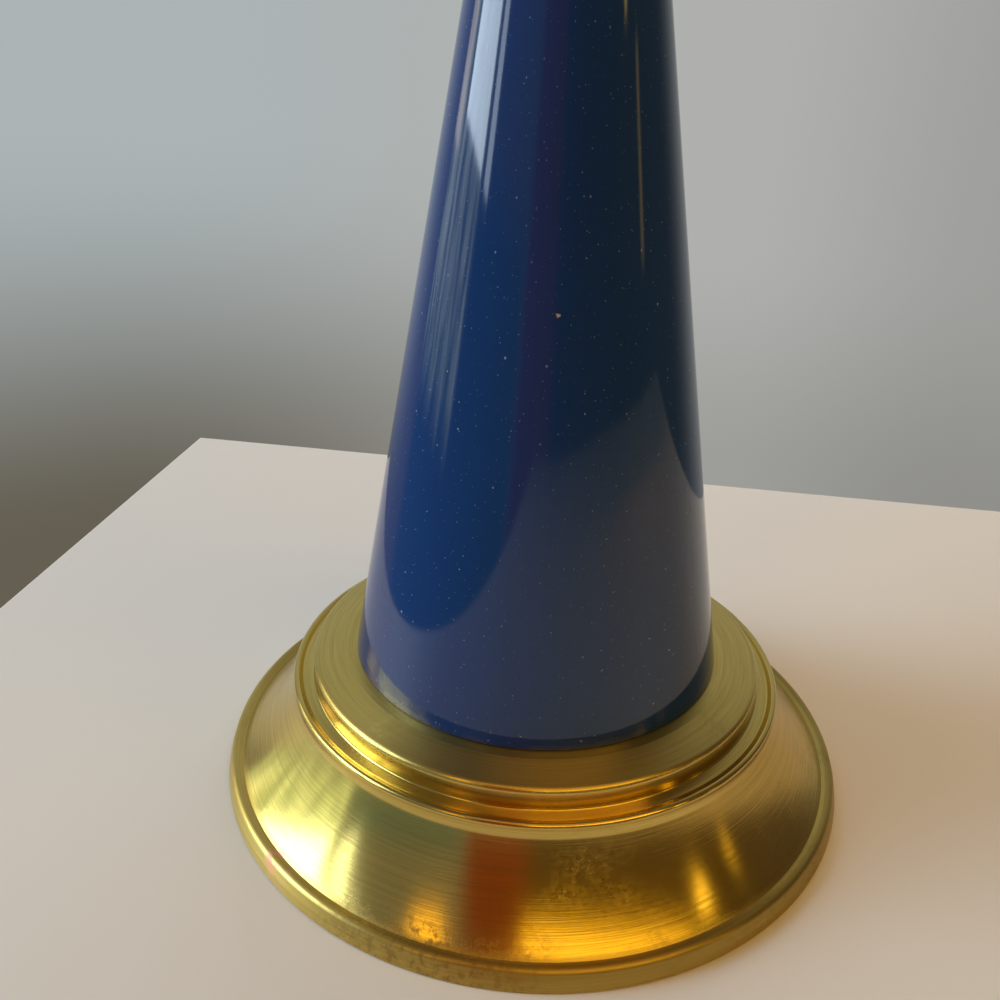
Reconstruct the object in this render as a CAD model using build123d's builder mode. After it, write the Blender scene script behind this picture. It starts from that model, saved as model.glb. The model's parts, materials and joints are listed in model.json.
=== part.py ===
"""Table lamp: a glazed ceramic cone on a stepped spun-brass base, with a lamp socket, harp and finial.

Millimetres, +Z up. The origin is the centre of the felt pad's underside, where the lamp stands.
The key of the switch points along -Y, the cord bushing is at the back (+Y), the harp lies in the XZ plane.
"""
import os
from math import cos, radians, sin

from build123d import *

os.makedirs("parts", exist_ok=True)

# ---------------------------------------------------------------- driving dimensions
FOOT_R = 80.0                 # widest radius of the brass base
RIM_Z = 0.4                   # the brass rim stops just above the table, the felt takes the load
SHEET = 0.8                   # thickness of the spun brass
PLATE_Z = 31.8                # top of the brass plate that carries the body
BODY_FOOT_R = 46.1            # radius of the glazed body where it stands on the plate
BODY_H = 189.7                # height of the glazed body
BODY_TAPER = 0.174            # radius lost per millimetre of height
BODY_WALL = 4.0

PIPE_R = 5.15                 # 1/8 IP lamp pipe
PIPE_BORE_R = 3.6
PIPE_HOLE_R = 5.45            # clearance hole for the pipe
NUT_BORE_R = 5.2
NUT_FLATS = 14.3

FELT_R = 77.3
FELT_T = 2.0
WEIGHT_R = 57.0
WEIGHT_TOP = 16.0
NUT_POCKET_R = 15.0
NUT_POCKET_TOP = 13.0

SCREW_SHELL_R = 13.25         # E26 lamp holder, inside
SPINDLE_R = 2.0
WIRE_R = 1.75                 # harp wire
HARP_X = 30.0                 # half the distance between the harp's two feet
STUD_R = 3.175                # 1/4-27 finial thread

BODY_TOP_Z = PLATE_Z + BODY_H
CAP_TOP_Z = BODY_TOP_Z + 2.9
NECK_TOP_Z = CAP_TOP_Z + 15.6
SADDLE_T = 1.5
SADDLE_TOP_Z = NECK_TOP_Z + SADDLE_T
SADDLE_NUT_H = 3.0
SOCKET_Z = SADDLE_TOP_Z + SADDLE_NUT_H
PIPE_BOTTOM_Z = 4.0
PIPE_TOP_Z = SOCKET_Z + 7.0


def save(piece, name):
    """Name one finished sub-part and write its STEP file."""
    piece.part.label = name
    export_step(piece.part, f"parts/{name}.step")
    print(f"{name:22s} {piece.part.volume:12.1f} mm3")


def body_radius(height):
    """Outer radius of the body's straight taper at a height above the plate."""
    return BODY_FOOT_R - BODY_TAPER * height


# ---------------------------------------------------------------- base
# Felt pad glued under the cast-iron weight, just inside the brass rim.
with BuildPart() as felt_pad:
    with BuildSketch():
        Circle(FELT_R)
    extrude(amount=FELT_T)
save(felt_pad, "felt_pad")

# Spun shell, as one line from the rim to the pipe hole, thickened inwards.
FLARE_LOW = (76.2, 4.3)
FLARE_MID = (68.0, 12.8)
FLARE_HIGH = (62.0, 23.0)
LEDGE_R = 57.0                # foot of the short wall under the plate

# The cord bushing stands square to the middle of the flare, at the back, on a small flat seat.
BUSHING_SEAT = -0.15          # the seat's depth under the flare's tangent plane
BUSHING_R = 4.8
BUSHING_FLANGE_R = 6.2
BUSHING_DEPTH = 6.0
BUSHING_NUT_TOP = -1.4
flare_rise = Vector(FLARE_HIGH[0] - FLARE_LOW[0], FLARE_HIGH[1] - FLARE_LOW[1]).normalized()
bushing_axis = (0, flare_rise.Y, -flare_rise.X)
bushing_plane = Plane(origin=(0, *FLARE_MID), x_dir=(1, 0, 0), z_dir=bushing_axis)

with BuildPart() as base_shell:
    with BuildSketch(Plane.XZ):
        with BuildLine():
            FilletPolyline(
                (FOOT_R, RIM_Z),
                (FOOT_R - 0.3, 2.2),
                (FOOT_R - 1.3, 5.2),
                FLARE_LOW,
                radius=[2.0, 1.2],
            )
            ThreePointArc(FLARE_LOW, FLARE_MID, FLARE_HIGH)
            FilletPolyline(
                FLARE_HIGH,
                (62.3, 26.15),
                (60.9, 26.15),
                (59.9, 25.2),
                (LEDGE_R, 25.6),
                (LEDGE_R, 30.6),
                (55.2, 30.8),
                (48.6, PLATE_Z),
                (PIPE_HOLE_R, PLATE_Z),
                radius=[0.9, 0.9, 1.0, 0.6, 1.2, 0.6, 1.5],
            )
            offset(amount=SHEET, side=Side.LEFT)
        make_face()
    revolve(axis=Axis.Z)
    # Hole and flat seat for the cord bushing.
    with BuildSketch(bushing_plane.offset(-BUSHING_DEPTH)):
        Circle(BUSHING_R + 0.1)
    extrude(amount=BUSHING_DEPTH + 3.0, mode=Mode.SUBTRACT)
    with BuildSketch(bushing_plane.offset(BUSHING_SEAT)):
        Circle(BUSHING_FLANGE_R + 0.2)
    extrude(amount=3.0, mode=Mode.SUBTRACT)
save(base_shell, "base_shell")

# Cast-iron weight: a disc with a boss up to the plate, a pocket for the nut and a channel for the cord.
CHANNEL_W = 9.0
CHANNEL_H = 7.0
with BuildPart() as base_weight:
    with BuildSketch(Plane.XZ):
        with BuildLine():
            Polyline(
                (PIPE_HOLE_R, NUT_POCKET_TOP),
                (NUT_POCKET_R, NUT_POCKET_TOP),
                (NUT_POCKET_R, FELT_T),
                (WEIGHT_R, FELT_T),
                (WEIGHT_R, WEIGHT_TOP - 2.0),
                (WEIGHT_R - 2.0, WEIGHT_TOP),
                (21.0, WEIGHT_TOP),
                (18.0, PLATE_Z - SHEET),
                (PIPE_HOLE_R, PLATE_Z - SHEET),
                close=True,
            )
        make_face()
    revolve(axis=Axis.Z)
    with BuildSketch(Plane.XY.offset(FELT_T)):
        with Locations((0, WEIGHT_R / 2)):
            Rectangle(CHANNEL_W, WEIGHT_R + 4.0)
    extrude(amount=CHANNEL_H, mode=Mode.SUBTRACT)
save(base_weight, "base_weight")

with BuildPart() as cord_bushing:
    with BuildSketch(bushing_plane.offset(BUSHING_SEAT)):
        Circle(BUSHING_FLANGE_R)
    extrude(amount=1.7)
    fillet(cord_bushing.edges().group_by(Axis(bushing_plane.origin, bushing_axis))[-1], radius=0.7)
    with BuildSketch(bushing_plane.offset(-BUSHING_DEPTH)):
        Circle(BUSHING_R)
    extrude(amount=BUSHING_DEPTH + BUSHING_SEAT)
    with BuildSketch(bushing_plane.offset(-BUSHING_DEPTH)):
        Circle(PIPE_BORE_R)
    extrude(amount=BUSHING_DEPTH + 3.0, mode=Mode.SUBTRACT)
save(cord_bushing, "cord_bushing")

with BuildPart() as bushing_nut:
    with BuildSketch(bushing_plane.offset(BUSHING_NUT_TOP)):
        RegularPolygon(radius=6.5, side_count=6, major_radius=False)
        Circle(BUSHING_R + 0.05, mode=Mode.SUBTRACT)
    extrude(amount=-2.4)
save(bushing_nut, "bushing_nut")


# ---------------------------------------------------------------- pipe and its hardware
def ring(inner_r, outer_r, low, high):
    """A plain ring or tube about the lamp's axis."""
    with BuildPart() as piece:
        with BuildSketch(Plane.XY.offset(low)):
            Circle(outer_r)
            Circle(inner_r, mode=Mode.SUBTRACT)
        extrude(amount=high - low)
    return piece


def hex_nut(flats, bore_r, low, high):
    """A hexagon nut about the lamp's axis, with its corners turned down."""
    with BuildPart() as piece:
        with BuildSketch(Plane.XY.offset(low)):
            RegularPolygon(radius=flats / 2, side_count=6, major_radius=False)
            Circle(bore_r, mode=Mode.SUBTRACT)
        extrude(amount=high - low)
        with BuildSketch(Plane.XZ):
            with BuildLine():
                Polyline(
                    (0, low - 1),
                    (flats / 2 - 0.1 - 1.7, low - 1),
                    (flats / 2 - 0.1 + 2.0, low + 1.2),
                    (flats / 2 - 0.1 + 2.0, high - 1.2),
                    (flats / 2 - 0.1 - 1.7, high + 1),
                    (0, high + 1),
                    close=True,
                )
            make_face()
        revolve(axis=Axis.Z, mode=Mode.INTERSECT)
    return piece


threaded_pipe = ring(PIPE_BORE_R, PIPE_R, PIPE_BOTTOM_Z, PIPE_TOP_Z)
save(threaded_pipe, "threaded_pipe")

WASHER_T = 1.4
LOCK_WASHER_T = 1.2
BASE_NUT_H = 4.4
lock_washer_top = NUT_POCKET_TOP - WASHER_T
base_nut_top = lock_washer_top - LOCK_WASHER_T
base_washer = ring(PIPE_HOLE_R, 12.7, lock_washer_top, NUT_POCKET_TOP)
save(base_washer, "base_washer")

with BuildPart() as base_lock_washer:
    with BuildSketch(Plane.XY.offset(base_nut_top)):
        Circle(9.6)
        Circle(PIPE_HOLE_R, mode=Mode.SUBTRACT)
        with PolarLocations(9.6, 12):
            Circle(0.9, mode=Mode.SUBTRACT)
    extrude(amount=LOCK_WASHER_T)
save(base_lock_washer, "base_lock_washer")

base_nut = hex_nut(NUT_FLATS, NUT_BORE_R, base_nut_top - BASE_NUT_H, base_nut_top)
save(base_nut, "base_nut")

# ---------------------------------------------------------------- glazed body
# Hollow cone with a straight taper. Both outer edges are softened.
CHECK_RING_T = 2.0
TOP_HOLE_R = 9.0
body_top_r = body_radius(BODY_H)
inner_foot_r = BODY_FOOT_R - BODY_WALL
with BuildPart() as body_shell:
    with BuildSketch(Plane.XZ):
        with BuildLine():
            Polyline(
                (body_top_r, BODY_TOP_Z),
                (BODY_FOOT_R, PLATE_Z),
                (inner_foot_r, PLATE_Z),
                (TOP_HOLE_R + 0.6, BODY_TOP_Z - BODY_WALL),
                (TOP_HOLE_R, BODY_TOP_Z - BODY_WALL),
                (TOP_HOLE_R, BODY_TOP_Z),
                close=True,
            )
        make_face()
    revolve(axis=Axis.Z)
    fillet(body_shell.edges().group_by(Axis.Z)[-1].sort_by(SortBy.RADIUS)[-1], radius=1.2)
    fillet(body_shell.edges().group_by(Axis.Z)[0].sort_by(SortBy.RADIUS)[-1], radius=0.4)
save(body_shell, "body_shell")

lower_check_ring = ring(PIPE_HOLE_R, inner_foot_r - 1.0, PLATE_Z, PLATE_Z + CHECK_RING_T)
save(lower_check_ring, "lower_check_ring")

upper_check_ring = ring(PIPE_HOLE_R, TOP_HOLE_R - 0.2, BODY_TOP_Z - 3.0, BODY_TOP_Z)
save(upper_check_ring, "upper_check_ring")

# ---------------------------------------------------------------- neck
with BuildPart() as neck_cap:
    with BuildSketch(Plane.XZ):
        with BuildLine():
            Polyline(
                (PIPE_HOLE_R, CAP_TOP_Z),
                (PIPE_HOLE_R, BODY_TOP_Z),
                (14.5, BODY_TOP_Z),
                (14.5, BODY_TOP_Z - 3.8),
                (15.5, BODY_TOP_Z - 3.8),
                (15.5, BODY_TOP_Z + 0.6),
            )
            ThreePointArc(
                (15.5, BODY_TOP_Z + 0.6),
                (14.3, BODY_TOP_Z + 1.9),
                (12.4, BODY_TOP_Z + 2.3),
            )
            Polyline((12.4, BODY_TOP_Z + 2.3), (10.6, CAP_TOP_Z), (PIPE_HOLE_R, CAP_TOP_Z))
        make_face()
    revolve(axis=Axis.Z)
save(neck_cap, "neck_cap")

with BuildPart() as neck_spacer:
    with BuildSketch(Plane.XZ):
        with BuildLine():
            Polyline((PIPE_HOLE_R, NECK_TOP_Z), (PIPE_HOLE_R, CAP_TOP_Z), (9.2, CAP_TOP_Z), (9.2, CAP_TOP_Z + 1.6))
            ThreePointArc(
                (9.2, CAP_TOP_Z + 1.6),
                (7.4, CAP_TOP_Z + 3.3),
                (6.9, CAP_TOP_Z + 5.8),
            )
            ThreePointArc(
                (6.9, CAP_TOP_Z + 5.8),
                (8.7, CAP_TOP_Z + 7.8),
                (6.9, CAP_TOP_Z + 9.8),
            )
            ThreePointArc(
                (6.9, CAP_TOP_Z + 9.8),
                (7.4, CAP_TOP_Z + 12.4),
                (9.0, CAP_TOP_Z + 14.2),
            )
            Polyline((9.0, CAP_TOP_Z + 14.2), (9.0, NECK_TOP_Z), (PIPE_HOLE_R, NECK_TOP_Z))
        make_face()
    revolve(axis=Axis.Z)
save(neck_spacer, "neck_spacer")

# ---------------------------------------------------------------- harp saddle
# U-shaped strip clamped on the pipe; its arms narrow to tongues that hold the harp's feet.
SADDLE_W = 12.0
TONGUE_W = 5.0
TONGUE_Z = NECK_TOP_Z + 10.0
TONGUE_TOP_Z = NECK_TOP_Z + 22.0
ARM_X = HARP_X - 0.2 - SADDLE_T / 2
strip_z = NECK_TOP_Z + SADDLE_T / 2
with BuildPart() as harp_saddle:
    with BuildSketch(Plane.XZ.offset(-SADDLE_W / 2)):
        with BuildLine():
            FilletPolyline(
                (-ARM_X, TONGUE_TOP_Z),
                (-ARM_X, NECK_TOP_Z + 9.0),
                (-20.5, strip_z),
                (20.5, strip_z),
                (ARM_X, NECK_TOP_Z + 9.0),
                (ARM_X, TONGUE_TOP_Z),
                radius=[3.0, 4.0, 4.0, 3.0],
            )
        trace(line_width=SADDLE_T)
    extrude(amount=SADDLE_W)
    with BuildSketch(Plane.XY.offset(TONGUE_Z)):
        with GridLocations(0, SADDLE_W + TONGUE_W, 1, 2):
            Rectangle(2 * HARP_X + 4.0, SADDLE_W)
    extrude(amount=20.0, mode=Mode.SUBTRACT)
    with BuildSketch(Plane.XY.offset(NECK_TOP_Z - 1.0)):
        Circle(PIPE_HOLE_R)
    extrude(amount=4.0, mode=Mode.SUBTRACT)
save(harp_saddle, "harp_saddle")

saddle_nut = hex_nut(NUT_FLATS, NUT_BORE_R, SADDLE_TOP_Z, SOCKET_Z)
save(saddle_nut, "saddle_nut")

# ---------------------------------------------------------------- lamp holder
CAP_SHEET = 0.8
CAP_R = 17.6
HUB_R = 8.2
HUB_H = 6.5
CAP_RIM_Z = SOCKET_Z + 23.5
SET_SCREW_R = 1.55
set_screw_plane = Plane(origin=(0, 0, SOCKET_Z + 3.2), x_dir=(1, 0, 0), z_dir=(0, 1, 0))
with BuildPart() as socket_cap:
    with BuildSketch(Plane.XZ):
        with BuildLine():
            FilletPolyline(
                (HUB_R, SOCKET_Z + 2.0),
                (HUB_R, SOCKET_Z + 7.0),
                (CAP_R, SOCKET_Z + 14.5),
                (CAP_R, CAP_RIM_Z),
                radius=[1.8, 5.0],
            )
            offset(amount=CAP_SHEET, side=Side.LEFT)
        make_face()
    revolve(axis=Axis.Z)
    with BuildSketch(Plane.XY.offset(SOCKET_Z)):
        Circle(HUB_R)
        Circle(NUT_BORE_R, mode=Mode.SUBTRACT)
    extrude(amount=HUB_H)
    with BuildSketch(set_screw_plane.offset(NUT_BORE_R - 1.0)):
        Circle(SET_SCREW_R + 0.05)
    extrude(amount=HUB_R, mode=Mode.SUBTRACT)
save(socket_cap, "socket_cap")

with BuildPart() as cap_set_screw:
    with BuildSketch(set_screw_plane.offset(PIPE_R + 0.5)):
        Circle(SET_SCREW_R)
    extrude(amount=3.4)
    with BuildSketch(set_screw_plane.offset(HUB_R + 0.2)):
        Circle(2.4)
    extrude(amount=1.8)
    with BuildSketch(set_screw_plane.offset(HUB_R + 1.3)):
        Rectangle(6.0, 0.7)
    extrude(amount=2.0, mode=Mode.SUBTRACT)
save(cap_set_screw, "cap_set_screw")

# Cardboard cup that insulates the cap from the terminals.
CUP_Z = SOCKET_Z + 17.0
CUP_R = 15.9
CUP_T = 0.6
with BuildPart() as cap_insulator:
    with BuildSketch(Plane.XZ):
        with BuildLine():
            Polyline(
                (6.0, CUP_Z),
                (CUP_R, CUP_Z),
                (CUP_R, CAP_RIM_Z - 0.3),
                (CUP_R - CUP_T, CAP_RIM_Z - 0.3),
                (CUP_R - CUP_T, CUP_Z + CUP_T),
                (6.0, CUP_Z + CUP_T),
                close=True,
            )
        make_face()
    revolve(axis=Axis.Z)
save(cap_insulator, "cap_insulator")

# Moulded core with the turn switch and the terminals.
CORE_R = 13.4
CORE_Z = CUP_Z + CUP_T
CORE_TOP_Z = SOCKET_Z + 35.5
SWITCH_Z = SOCKET_Z + 28.5
TERMINAL_Z = SOCKET_Z + 25.5
switch_plane = Plane(origin=(0, 0, SWITCH_Z), x_dir=(1, 0, 0), z_dir=(0, -1, 0))
SPINDLE_START = 8.0
SPINDLE_END = 27.0
with BuildPart() as socket_core:
    with BuildSketch(Plane.XY.offset(CORE_Z)):
        Circle(CORE_R)
    extrude(amount=CORE_TOP_Z - CORE_Z)
    chamfer(socket_core.edges().group_by(Axis.Z)[0], length=0.8)
    with BuildSketch(switch_plane.offset(SPINDLE_START - 0.5)):
        Circle(SPINDLE_R + 0.06)
    extrude(amount=CORE_R, mode=Mode.SUBTRACT)
    for side in (-1, 1):
        with BuildSketch(Plane(origin=(side * 9.0, 0, TERMINAL_Z), z_dir=(side, 0, 0))):
            Circle(1.25)
        extrude(amount=CORE_R, mode=Mode.SUBTRACT)
save(socket_core, "socket_core")

with BuildPart() as terminal_screws:
    for side in (-1, 1):
        with BuildSketch(Plane(origin=(side * 9.4, 0, TERMINAL_Z), z_dir=(side, 0, 0))):
            Circle(1.2)
        extrude(amount=4.2)
        with BuildSketch(Plane(origin=(side * (CORE_R + 0.1), 0, TERMINAL_Z), z_dir=(side, 0, 0))):
            Circle(2.4)
        extrude(amount=1.2)
save(terminal_screws, "terminal_screws")

# Screw shell: the thread's wall stands on a narrower neck that leaves room for the centre contact.
SCREW_SHELL_T = 0.7
SHELL_NECK_R = 11.7
THREAD_Z = CORE_TOP_Z + 4.8
SCREW_SHELL_TOP_Z = CORE_TOP_Z + 24.0
with BuildPart() as screw_shell:
    with BuildSketch(Plane.XZ):
        with BuildLine():
            Polyline(
                (6.0, CORE_TOP_Z),
                (SHELL_NECK_R + SCREW_SHELL_T, CORE_TOP_Z),
                (SHELL_NECK_R + SCREW_SHELL_T, THREAD_Z - SCREW_SHELL_T),
                (SCREW_SHELL_R + SCREW_SHELL_T, THREAD_Z - SCREW_SHELL_T),
                (SCREW_SHELL_R + SCREW_SHELL_T, SCREW_SHELL_TOP_Z),
                (SCREW_SHELL_R, SCREW_SHELL_TOP_Z),
                (SCREW_SHELL_R, THREAD_Z),
                (SHELL_NECK_R, THREAD_Z),
                (SHELL_NECK_R, CORE_TOP_Z + SCREW_SHELL_T),
                (6.0, CORE_TOP_Z + SCREW_SHELL_T),
                close=True,
            )
        make_face()
    revolve(axis=Axis.Z)
save(screw_shell, "screw_shell")

with BuildPart() as centre_contact:
    with BuildSketch(Plane.XY.offset(CORE_TOP_Z)):
        Circle(3.6)
    extrude(amount=1.6)
    with BuildSketch(Plane.XZ.offset(-2.0)):
        with BuildLine():
            FilletPolyline(
                (-3.4, CORE_TOP_Z + 1.4),
                (-1.6, CORE_TOP_Z + 1.4),
                (1.0, CORE_TOP_Z + 3.4),
                (3.6, CORE_TOP_Z + 3.8),
                radius=0.9,
            )
        trace(line_width=0.5)
    extrude(amount=4.0)
save(centre_contact, "centre_contact")

SLEEVE_R = 15.9
SLEEVE_T = 0.6
with BuildPart() as insulating_sleeve:
    with BuildSketch(Plane.XY.offset(CAP_RIM_Z + 0.4)):
        Circle(SLEEVE_R)
        Circle(SLEEVE_R - SLEEVE_T, mode=Mode.SUBTRACT)
    extrude(amount=SCREW_SHELL_TOP_Z - CAP_RIM_Z - 0.9)
    with BuildSketch(switch_plane.offset(SPINDLE_START)):
        Circle(3.2)
    extrude(amount=20.0, mode=Mode.SUBTRACT)
save(insulating_sleeve, "insulating_sleeve")

SHELL_R = 16.6
SHELL_T = 0.6
SHELL_TOP_Z = SCREW_SHELL_TOP_Z + 0.5
BEAD_Z = SOCKET_Z + 36.0
with BuildPart() as socket_shell:
    with BuildSketch(Plane.XZ):
        with BuildLine():
            FilletPolyline(
                (SHELL_R, CAP_RIM_Z - 4.0),
                (SHELL_R, BEAD_Z - 1.6),
                (SHELL_R + 1.0, BEAD_Z),
                (SHELL_R, BEAD_Z + 1.6),
                (SHELL_R, SHELL_TOP_Z - 2.4),
                (SHELL_R + 0.9, SHELL_TOP_Z),
                radius=[0.8, 0.8, 0.8, 1.5],
            )
            offset(amount=SHELL_T, side=Side.LEFT)
        make_face()
    revolve(axis=Axis.Z)
    with BuildSketch(switch_plane.offset(SPINDLE_START)):
        Circle(3.4)
    extrude(amount=20.0, mode=Mode.SUBTRACT)
save(socket_shell, "socket_shell")

# ---------------------------------------------------------------- turn switch
with BuildPart() as switch_spindle:
    with BuildSketch(switch_plane.offset(SPINDLE_START)):
        Circle(SPINDLE_R)
    extrude(amount=SPINDLE_END - SPINDLE_START)
save(switch_spindle, "switch_spindle")

KNOB_START = 20.5
KNOB_R = 6.2
with BuildPart() as switch_knob:
    with BuildSketch(switch_plane.offset(KNOB_START)):
        Circle(3.7)
    extrude(amount=4.0)
    with BuildSketch(switch_plane.offset(KNOB_START + 3.5)):
        Circle(KNOB_R)
        with PolarLocations(KNOB_R + 0.55, 14):
            Circle(1.0, mode=Mode.SUBTRACT)
    extrude(amount=8.5)
    fillet(switch_knob.edges().group_by(Axis.Y)[0], radius=0.6)
    with BuildSketch(switch_plane.offset(KNOB_START - 1.0)):
        Circle(SPINDLE_R + 0.03)
    extrude(amount=SPINDLE_END - KNOB_START + 1.2, mode=Mode.SUBTRACT)
save(switch_knob, "switch_knob")

# ---------------------------------------------------------------- harp
HARP_TOP_Z = NECK_TOP_Z + 185.0
FOOT_Z = TONGUE_Z + 0.6
FOOT_T = 1.6
WIRE_START_Z = TONGUE_TOP_Z + 1.0
half_harp = [
    (HARP_X, WIRE_START_Z),
    (HARP_X, NECK_TOP_Z + 46.0),
    (54.0, NECK_TOP_Z + 90.0),
    (54.0, NECK_TOP_Z + 134.0),
    (26.0, HARP_TOP_Z),
]
half_radii = [30.0, 70.0, 70.0, 30.0]
with BuildPart() as harp_loop:
    with BuildLine(Plane.XZ) as harp_line:
        FilletPolyline(
            [(-x, z) for x, z in half_harp] + half_harp[::-1],
            radius=half_radii + half_radii[::-1],
        )
    with BuildSketch(Plane(origin=harp_line.line @ 0, z_dir=harp_line.line % 0)):
        Circle(WIRE_R)
    sweep()
    for side in (-1, 1):
        with BuildSketch(Plane.XY.offset(FOOT_Z)):
            with Locations((side * (HARP_X + FOOT_T / 2), 0)):
                Rectangle(FOOT_T, TONGUE_W)
        extrude(amount=WIRE_START_Z + 1.5 - FOOT_Z)
save(harp_loop, "harp_loop")

PLATE_H = 5.4
with BuildPart() as harp_top_plate:
    with BuildSketch(Plane.XY.offset(HARP_TOP_Z - PLATE_H / 2)):
        RectangleRounded(16.0, 9.0, radius=2.0)
    extrude(amount=PLATE_H)
    fillet(harp_top_plate.edges().group_by(Axis.Z)[0], radius=0.8)
    with BuildSketch(Plane.YZ.offset(-10.0)):
        with Locations((0, HARP_TOP_Z)):
            Circle(WIRE_R + 0.05)
    extrude(amount=20.0, mode=Mode.SUBTRACT)
save(harp_top_plate, "harp_top_plate")

SEAT_Z = HARP_TOP_Z + PLATE_H / 2
SEAT_T = 1.5
SEAT_R = 9.0
STUD_L = 9.3
with BuildPart() as harp_stud:
    with BuildSketch(Plane.XY.offset(SEAT_Z)):
        Circle(SEAT_R)
    extrude(amount=SEAT_T)
    chamfer(harp_stud.edges().group_by(Axis.Z)[-1], length=0.4)
    with BuildSketch(Plane.XY.offset(SEAT_Z + SEAT_T)):
        Circle(STUD_R)
    extrude(amount=STUD_L)
    chamfer(harp_stud.edges().group_by(Axis.Z)[-1], length=0.5)
save(harp_stud, "harp_stud")

FERRULE_R = 3.6
FERRULE_T = 0.9
FERRULE_L = 14.0
for name, side in (("harp_ferrule_left", -1), ("harp_ferrule_right", 1)):
    with BuildPart() as ferrule:
        with BuildSketch(Plane.XY.offset(TONGUE_Z + 0.5)):
            with Locations((side * HARP_X, 0)):
                Circle(FERRULE_R + FERRULE_T)
                Circle(FERRULE_R, mode=Mode.SUBTRACT)
        extrude(amount=FERRULE_L)
        chamfer(ferrule.edges().group_by(Axis.Z)[-1], length=0.3)
    save(ferrule, name)

# ---------------------------------------------------------------- finial
FINIAL_Z = SEAT_Z + SEAT_T + 0.3
INSERT_R = 4.8
INSERT_H = 12.0
with BuildPart() as finial_insert:
    with BuildSketch(Plane.XY.offset(FINIAL_Z)):
        Circle(INSERT_R)
    extrude(amount=INSERT_H)
    with BuildSketch(Plane.XY.offset(FINIAL_Z - 1.0)):
        Circle(STUD_R + 0.07)
    extrude(amount=INSERT_H - 0.5, mode=Mode.SUBTRACT)
save(finial_insert, "finial_insert")

# Turned ball on a waisted stem, with a small button on top.
BALL_R = 8.6
BALL_Z = FINIAL_Z + 16.5
BUTTON_R = 2.7
BUTTON_Z = BALL_Z + BALL_R + 0.6
with BuildPart() as finial_body:
    with BuildSketch(Plane.XZ):
        with BuildLine():
            Polyline((0, FINIAL_Z), (8.6, FINIAL_Z), (8.6, FINIAL_Z + 1.8))
            ThreePointArc(
                (8.6, FINIAL_Z + 1.8),
                (6.6, FINIAL_Z + 4.4),
                (6.3, FINIAL_Z + 9.5),
            )
            Line((6.3, FINIAL_Z + 9.5), (BALL_R * sin(radians(60)), BALL_Z - BALL_R * cos(radians(60))))
            ThreePointArc(
                (BALL_R * sin(radians(60)), BALL_Z - BALL_R * cos(radians(60))),
                (BALL_R, BALL_Z),
                (BALL_R * sin(radians(18)), BALL_Z + BALL_R * cos(radians(18))),
            )
            Line((BALL_R * sin(radians(18)), BALL_Z + BALL_R * cos(radians(18))), (BUTTON_R, BUTTON_Z))
            CenterArc((0, BUTTON_Z), BUTTON_R, start_angle=0, arc_size=90)
            Line((0, BUTTON_Z + BUTTON_R), (0, FINIAL_Z))
        make_face()
    revolve(axis=Axis.Z)
    with BuildSketch(Plane.XY.offset(FINIAL_Z - 1.0)):
        Circle(INSERT_R + 0.05)
    extrude(amount=INSERT_H + 1.2, mode=Mode.SUBTRACT)
save(finial_body, "finial_body")
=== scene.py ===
"""Table lamp base: glazed cone on a stepped spun-brass foot, with lamp holder, harp and finial.

Metres, +Z up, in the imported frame. Lengths written with MM are millimetres.
"""
import json
import math

import bmesh
import bpy
from mathutils import Matrix, Vector


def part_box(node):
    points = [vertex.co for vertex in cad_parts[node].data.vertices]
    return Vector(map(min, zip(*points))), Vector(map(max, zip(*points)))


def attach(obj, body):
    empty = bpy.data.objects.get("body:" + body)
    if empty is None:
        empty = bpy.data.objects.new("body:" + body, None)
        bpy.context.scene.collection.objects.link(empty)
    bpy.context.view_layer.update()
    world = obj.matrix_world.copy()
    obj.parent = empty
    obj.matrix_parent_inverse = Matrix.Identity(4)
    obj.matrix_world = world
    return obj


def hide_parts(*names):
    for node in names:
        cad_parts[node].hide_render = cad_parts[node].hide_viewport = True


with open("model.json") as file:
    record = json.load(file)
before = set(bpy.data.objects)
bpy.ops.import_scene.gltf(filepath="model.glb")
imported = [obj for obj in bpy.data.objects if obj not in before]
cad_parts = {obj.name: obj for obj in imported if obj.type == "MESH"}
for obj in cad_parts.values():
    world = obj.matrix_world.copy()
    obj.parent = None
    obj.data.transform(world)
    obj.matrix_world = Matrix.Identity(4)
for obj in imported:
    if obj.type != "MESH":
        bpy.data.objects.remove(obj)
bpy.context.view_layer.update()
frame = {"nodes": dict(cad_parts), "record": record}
nodes = frame["nodes"]

MM = 0.001
foot_low, foot_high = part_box("base_shell")
FOOT_R = (foot_high.x - foot_low.x) / 2
PLATE_Z = foot_high.z
body_low, body_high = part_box("body_shell")


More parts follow.
